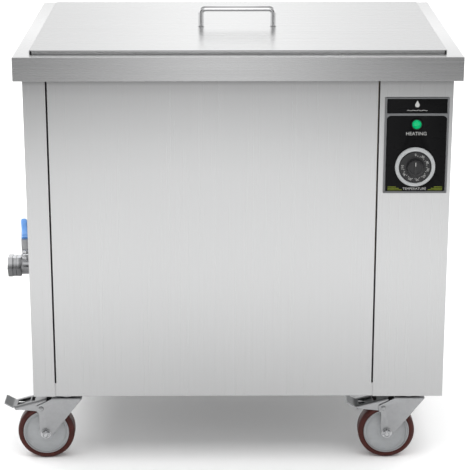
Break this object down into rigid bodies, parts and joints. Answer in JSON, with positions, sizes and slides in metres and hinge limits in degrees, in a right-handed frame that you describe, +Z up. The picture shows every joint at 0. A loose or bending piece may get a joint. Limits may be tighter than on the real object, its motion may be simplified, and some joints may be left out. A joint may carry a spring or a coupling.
{
  "type": "parts washer tank",
  "caption": "Heated stainless wash tank in a cabinet on swivel casters, with a lift-off lid, a thermostat panel and a drain ball valve.",
  "frame": {"origin": "on the floor under the middle of the object's bounding box", "axes": "+Z up; +X to the operator's right, along the object's longest side; the operator's side faces -Y; +Y to the back, along its shortest side"},
  "size_m": [0.794, 0.54, 0.7718],
  "materials": {
    "brushed_steel": "fine brushed stainless sheet, satin",
    "zinc_steel": "zinc-plated pressed steel, satin",
    "polished_steel": "polished stainless, bright",
    "grey_plastic": "moulded light grey plastic, fine grain",
    "black_plastic": "black moulded plastic, semi-gloss",
    "green_lens": "translucent green plastic, gloss",
    "blue_vinyl": "dipped vinyl, soft gloss",
    "brown_tyre": "cast polyurethane, dark red-brown, satin",
    "wheel_plastic": "grey moulded wheel centre",
    "mineral_wool": "matted mineral wool",
    "silicone_pad": "silicone heater mat, matt",
    "brass": "drawn capillary tube, satin",
    "pale_nylon": "pale moulded nylon, matt"
  },
  "bodies": {
    "cabinet": {"base_plate": "brushed_steel", "left_side_panel": "brushed_steel", "right_side_panel": "brushed_steel", "front_panel": "brushed_steel", "rear_panel": "brushed_steel", "top_rim": "brushed_steel", "inner_tank": "brushed_steel", "tank_insulation": "mineral_wool", "parts_rest_plate": "brushed_steel", "drain_strainer": "polished_steel", "heater_pad_front": "silicone_pad", "heater_pad_rear": "silicone_pad", "control_frame": "grey_plastic", "control_fascia": "black_plastic", "lamp_body": "black_plastic", "lamp_lens": "green_lens", "thermostat_body": "pale_nylon", "thermostat_probe": "brass", "dial_bezel": "grey_plastic", "contactor": "pale_nylon", "terminal_block": "pale_nylon", "cable_gland": "black_plastic", "drain_elbow": "brushed_steel", "drain_nipple": "zinc_steel", "drain_locknut": "zinc_steel", "valve_body": "zinc_steel", "valve_end_cap": "zinc_steel", "valve_gland_nut": "zinc_steel", "front_left_caster_plate": "zinc_steel", "front_right_caster_plate": "zinc_steel", "rear_left_caster_plate": "zinc_steel", "rear_right_caster_plate": "zinc_steel"},
    "lid": {"lid_panel": "brushed_steel", "lid_handle": "polished_steel"},
    "drain_lever": {"valve_ball": "polished_steel", "valve_stem": "polished_steel", "valve_lever": "polished_steel", "valve_lever_nut": "zinc_steel", "valve_grip": "blue_vinyl"},
    "dial": {"temperature_knob": "black_plastic", "knob_shaft": "zinc_steel"},
    "front_left_swivel": {"front_left_fork": "zinc_steel", "front_left_axle_bolt": "zinc_steel"},
    "front_left_wheel": {"front_left_wheel_hub": "wheel_plastic", "front_left_tyre": "brown_tyre"},
    "front_left_pedal": {"front_left_brake_pedal": "zinc_steel"},
    "front_right_swivel": {"front_right_fork": "zinc_steel", "front_right_axle_bolt": "zinc_steel"},
    "front_right_wheel": {"front_right_wheel_hub": "wheel_plastic", "front_right_tyre": "brown_tyre"},
    "front_right_pedal": {"front_right_brake_pedal": "zinc_steel"},
    "rear_left_swivel": {"rear_left_fork": "zinc_steel", "rear_left_axle_bolt": "zinc_steel"},
    "rear_left_wheel": {"rear_left_wheel_hub": "wheel_plastic", "rear_left_tyre": "brown_tyre"},
    "rear_right_swivel": {"rear_right_fork": "zinc_steel", "rear_right_axle_bolt": "zinc_steel"},
    "rear_right_wheel": {"rear_right_wheel_hub": "wheel_plastic", "rear_right_tyre": "brown_tyre"}
  },
  "joints": [
    {"name": "lid_lift", "type": "slide", "parent": "cabinet", "child": "lid", "axis": [0, 0, 1], "range_m": [0, 0.4]},
    {"name": "drain_valve_turn", "type": "hinge", "parent": "cabinet", "child": "drain_lever", "pos_m": [-0.364, 0, 0.285], "axis": [0, 0, 1], "range_deg": [0, 82]},
    {"name": "thermostat_turn", "type": "hinge", "parent": "cabinet", "child": "dial", "pos_m": [0.3227, -0.26, 0.542], "axis": [0, 1, 0], "range_deg": [0, 270]},
    {"name": "front_left_swivel_turn", "type": "hinge", "parent": "cabinet", "child": "front_left_swivel", "pos_m": [-0.274, -0.215, 0.12], "axis": [0, 0, 1], "continuous": true},
    {"name": "front_left_wheel_spin", "type": "hinge", "parent": "front_left_swivel", "child": "front_left_wheel", "pos_m": [-0.312, -0.215, 0.05], "axis": [0, 1, 0], "continuous": true},
    {"name": "front_left_brake_press", "type": "hinge", "parent": "front_left_swivel", "child": "front_left_pedal", "pos_m": [-0.319, -0.215, 0.097], "axis": [0, -1, 0], "range_deg": [0, 6]},
    {"name": "front_right_swivel_turn", "type": "hinge", "parent": "cabinet", "child": "front_right_swivel", "pos_m": [0.328, -0.215, 0.12], "axis": [0, 0, 1], "continuous": true},
    {"name": "front_right_wheel_spin", "type": "hinge", "parent": "front_right_swivel", "child": "front_right_wheel", "pos_m": [0.29, -0.215, 0.05], "axis": [0, 1, 0], "continuous": true},
    {"name": "front_right_brake_press", "type": "hinge", "parent": "front_right_swivel", "child": "front_right_pedal", "pos_m": [0.283, -0.215, 0.097], "axis": [0, -1, 0], "range_deg": [0, 6]},
    {"name": "rear_left_swivel_turn", "type": "hinge", "parent": "cabinet", "child": "rear_left_swivel", "pos_m": [-0.274, 0.215, 0.12], "axis": [0, 0, 1], "continuous": true},
    {"name": "rear_left_wheel_spin", "type": "hinge", "parent": "rear_left_swivel", "child": "rear_left_wheel", "pos_m": [-0.312, 0.215, 0.05], "axis": [0, 1, 0], "continuous": true},
    {"name": "rear_right_swivel_turn", "type": "hinge", "parent": "cabinet", "child": "rear_right_swivel", "pos_m": [0.328, 0.215, 0.12], "axis": [0, 0, 1], "continuous": true},
    {"name": "rear_right_wheel_spin", "type": "hinge", "parent": "rear_right_swivel", "child": "rear_right_wheel", "pos_m": [0.29, 0.215, 0.05], "axis": [0, 1, 0], "continuous": true}
  ]
}
